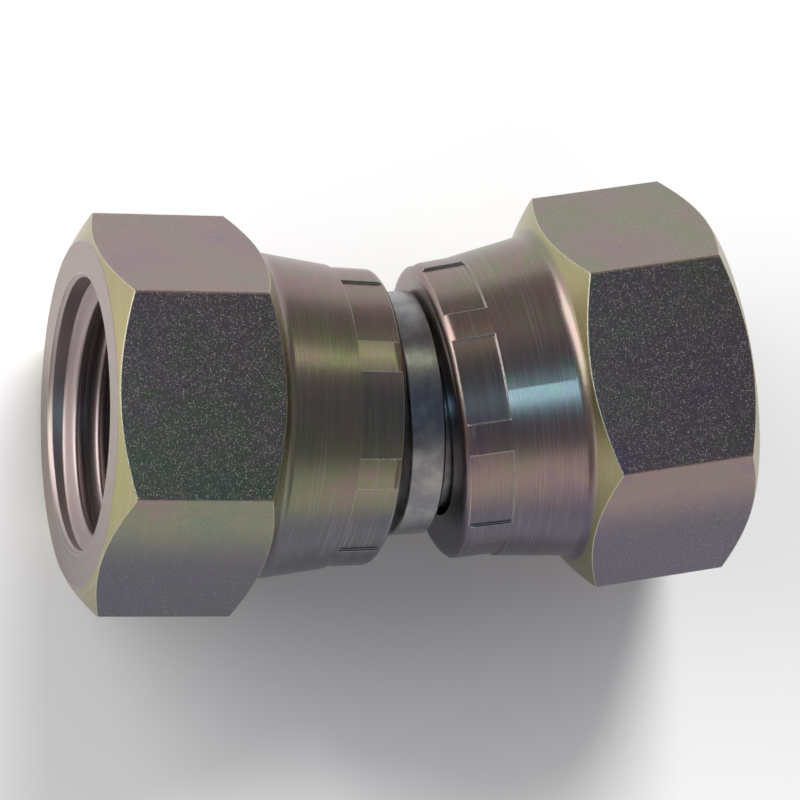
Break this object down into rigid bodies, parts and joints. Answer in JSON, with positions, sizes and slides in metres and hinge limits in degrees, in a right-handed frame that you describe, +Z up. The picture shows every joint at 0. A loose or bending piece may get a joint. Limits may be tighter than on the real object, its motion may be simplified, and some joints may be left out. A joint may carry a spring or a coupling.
{
  "type": "swivel pipe adapter",
  "caption": "Straight steel pipe adapter: two hex swivel nuts with internal parallel threads, crimped on a bored stem with coned noses.",
  "frame": {"origin": "middle of the adapter's box, at the surface that it lies on", "axes": "+X along the stem to the right nut, +Z up, +Y across, to the side that both nuts' mouths lean to"},
  "size_m": [0.053, 0.0318, 0.0275],
  "materials": {
    "stem_steel": "turned and zinc plated",
    "plated_nut": "yellow chromate zinc plated, satin"
  },
  "bodies": {
    "stem": {"centre_stem": "stem_steel"},
    "left_nut": {"left_swivel_nut": "plated_nut"},
    "right_nut": {"right_swivel_nut": "plated_nut"}
  },
  "joints": [
    {"name": "left_nut_spin", "type": "hinge", "parent": "stem", "child": "left_nut", "pos_m": [-0.0045, -0.00105, 0.01314], "axis": [-0.9964, 0.0732, 0.0436], "continuous": true},
    {"name": "right_nut_spin", "type": "hinge", "parent": "stem", "child": "right_nut", "pos_m": [0.0045, -0.00105, 0.01314], "axis": [0.9964, 0.0732, 0.0436], "continuous": true}
  ]
}
